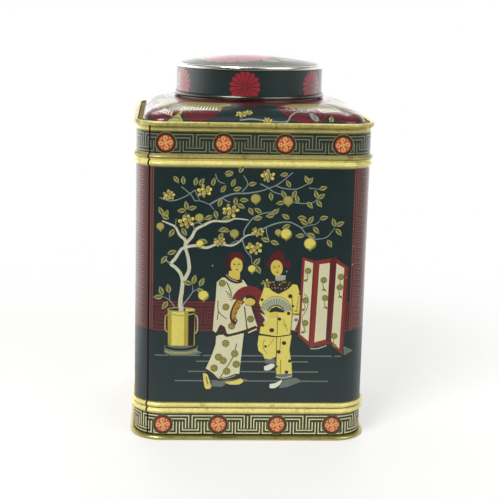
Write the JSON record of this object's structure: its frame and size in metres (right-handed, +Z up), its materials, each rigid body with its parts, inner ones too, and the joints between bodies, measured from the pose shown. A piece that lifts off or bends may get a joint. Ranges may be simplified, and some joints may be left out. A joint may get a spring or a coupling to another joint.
{
  "type": "tea caddy",
  "caption": "Square round-cornered printed tinplate tea caddy with a low domed shoulder, a round neck collar and a slip lid that lifts straight off.",
  "frame": {"origin": "middle of the footprint, on the surface that the base hem stands on", "axes": "+Z up through the lid; the decorated front faces -Y; +X is to the right of someone looking at the front"},
  "size_m": [0.091, 0.091, 0.1446],
  "materials": {
    "printed_body": "glossy varnished litho print on tinplate, dark blue-green ground with gold beads and a scene in cream, yellow and red",
    "lacquered_base": "gold-brown lacquered tinplate with rubbed edges",
    "printed_shoulder": "gold-lacquered rim and ledge, printed dark dome with red wave bands",
    "bare_tinplate": "unprinted tinplate, dull bright with fine rolling lines",
    "printed_lid_band": "glossy varnished litho print, near-black blue ground with red rosettes, bare curled edge",
    "printed_lid_crown": "glossy varnished print with a worn bare seam round the edge"
  },
  "bodies": {
    "caddy": {"body_shell": "printed_body", "base_end": "lacquered_base", "shoulder_end": "printed_shoulder", "neck_collar": "bare_tinplate"},
    "lid": {"lid_band": "printed_lid_band", "lid_crown": "printed_lid_crown"}
  },
  "joints": [
    {"name": "lid_lift", "type": "slide", "parent": "caddy", "child": "lid", "axis": [0, 0, 1], "range_m": [0, 0.02]}
  ]
}
